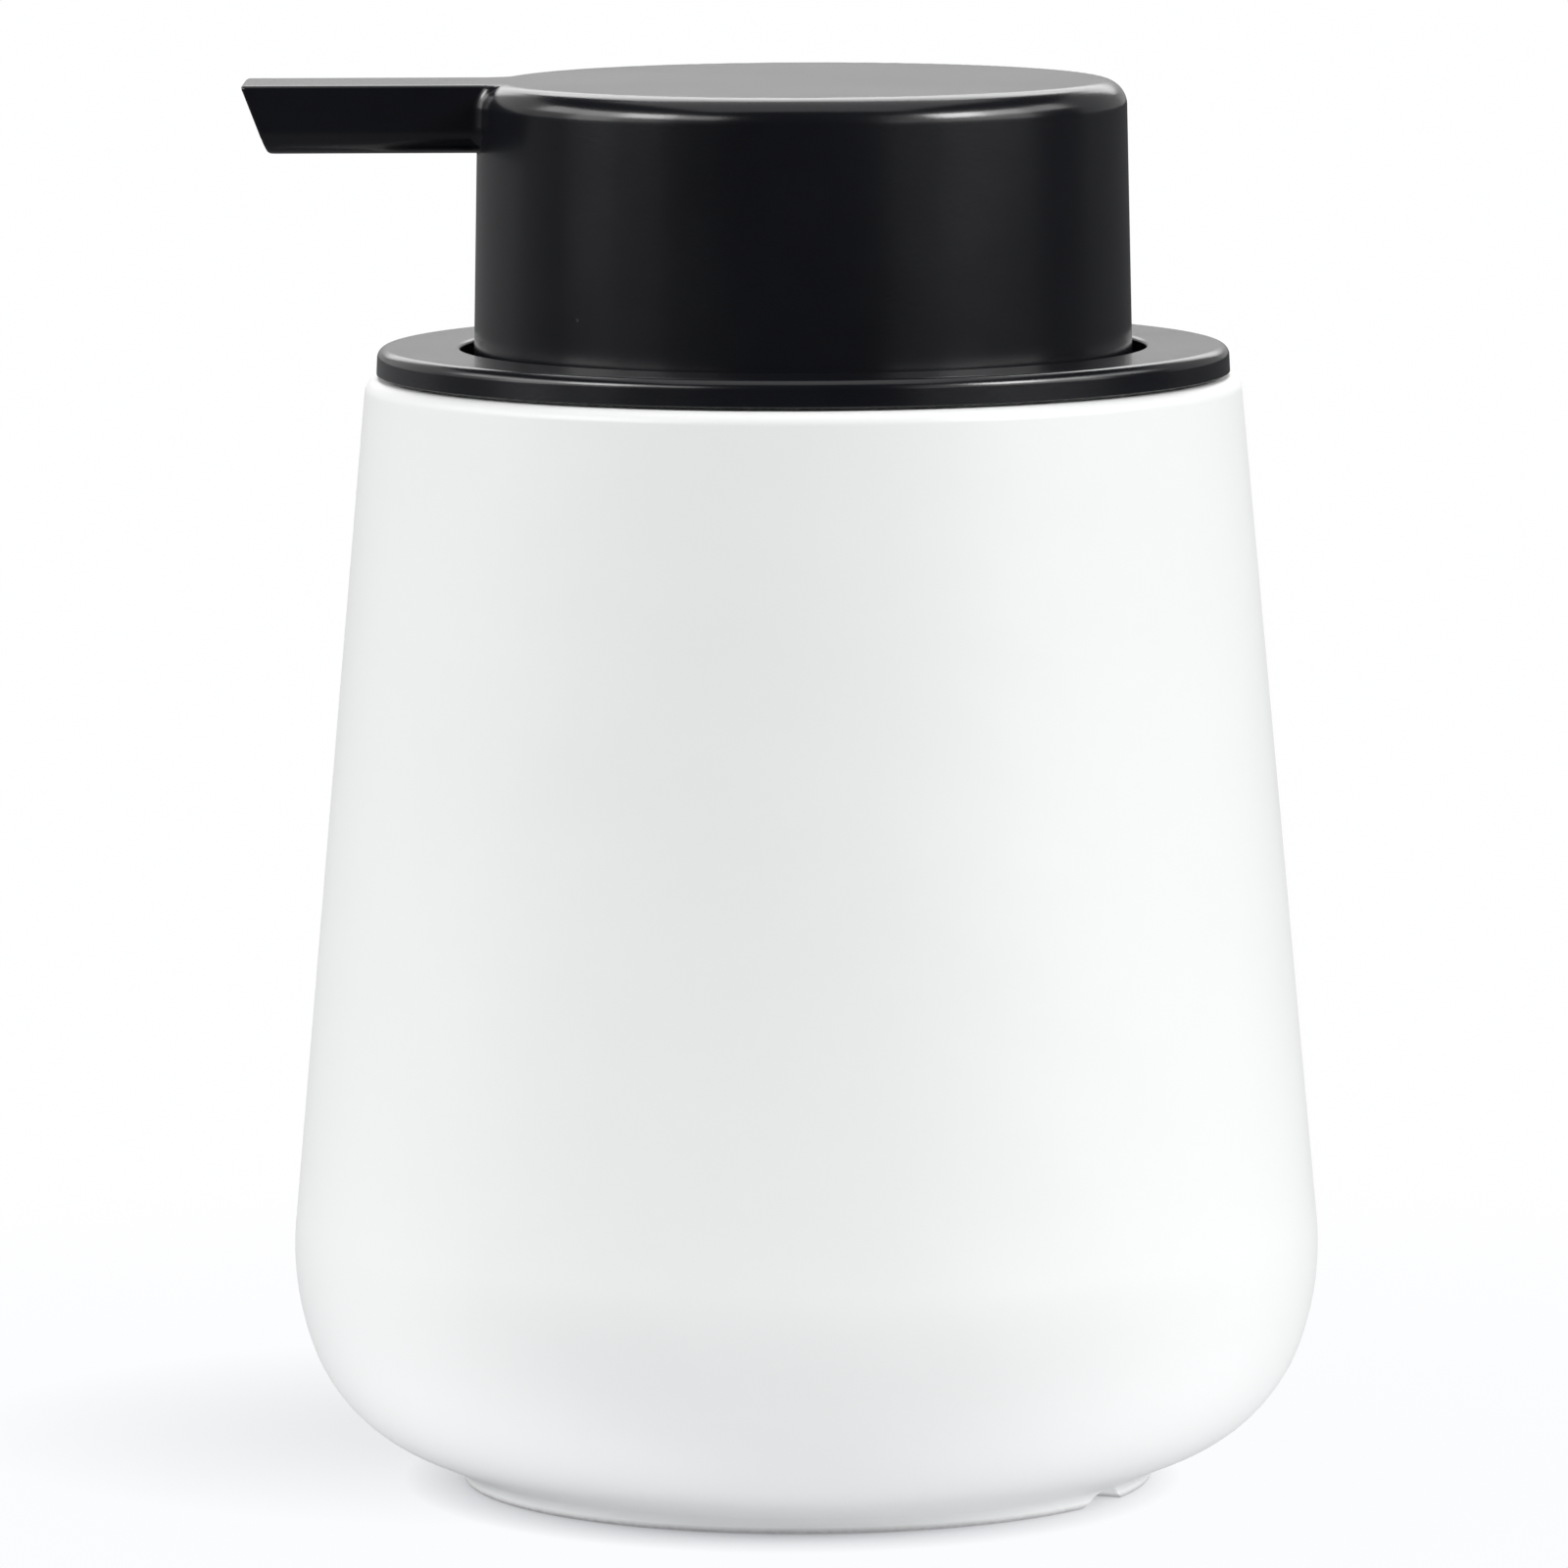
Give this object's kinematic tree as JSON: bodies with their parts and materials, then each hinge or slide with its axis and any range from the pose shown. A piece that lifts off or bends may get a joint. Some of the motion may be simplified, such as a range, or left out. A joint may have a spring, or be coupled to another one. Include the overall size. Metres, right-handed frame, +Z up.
{
  "type": "soap pump dispenser",
  "caption": "Foaming soap dispenser: white ceramic bottle with a round belly and a low foot, black flanged collar, flat press-down head with a straight spout that swivels.",
  "frame": {"origin": "centre of the foot ring's rest plane, on the bottle's axis", "axes": "+Z up along the bottle's axis, spout along -X, the side seen in front faces -Y"},
  "size_m": [0.0915, 0.0878, 0.1202],
  "materials": {
    "white_glaze": "satin white glaze",
    "black_plastic": "satin black moulding with a fine texture",
    "grey_plastic": "dark grey moulding",
    "natural_plastic": "natural, slightly milky moulding",
    "white_plastic": "soft white moulding",
    "silicone": "milky silicone",
    "black_rubber": "matte black rubber",
    "steel": "bright drawn stainless steel",
    "screen": "woven nylon screen"
  },
  "bodies": {
    "bottle": {"bottle": "white_glaze"},
    "pump_body": {"collar": "black_plastic", "mouth_seal": "silicone", "pump_cylinder": "natural_plastic", "cylinder_gasket": "black_rubber", "retainer": "grey_plastic", "dip_tube": "natural_plastic", "spring_seat": "white_plastic", "return_spring": "steel"},
    "plunger": {"stem": "white_plastic", "stem_oring": "black_rubber", "liquid_piston": "natural_plastic"},
    "floating_piston": {"air_piston": "natural_plastic", "air_valve": "silicone"},
    "inlet_valve": {"inlet_ball": "steel"},
    "outlet_valve": {"outlet_ball": "steel"},
    "head": {"head_shell": "black_plastic", "actuator_core": "grey_plastic", "mesh_holder": "natural_plastic", "coarse_mesh": "screen", "fine_mesh": "screen"}
  },
  "joints": [
    {"name": "pump_lift", "type": "slide", "parent": "bottle", "child": "pump_body", "axis": [0, 0, 1], "range_m": [0, 0.11]},
    {"name": "press", "type": "slide", "parent": "pump_body", "child": "plunger", "axis": [0, 0, -1], "range_m": [0, 0.012], "stiffness_N_per_m": 700, "springref_m": -0.008, "deforming": ["return_spring"]},
    {"name": "head_turn", "type": "hinge", "parent": "plunger", "child": "head", "pos_m": [0, 0, 0.1], "axis": [0, 0, 1], "continuous": true},
    {"name": "air_piston_float", "type": "slide", "parent": "plunger", "child": "floating_piston", "axis": [0, 0, 1], "range_m": [0, 0.0008]},
    {"name": "inlet_ball_lift", "type": "slide", "parent": "pump_body", "child": "inlet_valve", "axis": [0, 0, 1], "range_m": [0, 0.0015]},
    {"name": "outlet_ball_lift", "type": "slide", "parent": "plunger", "child": "outlet_valve", "axis": [0, 0, 1], "range_m": [0, 0.0012]}
  ]
}
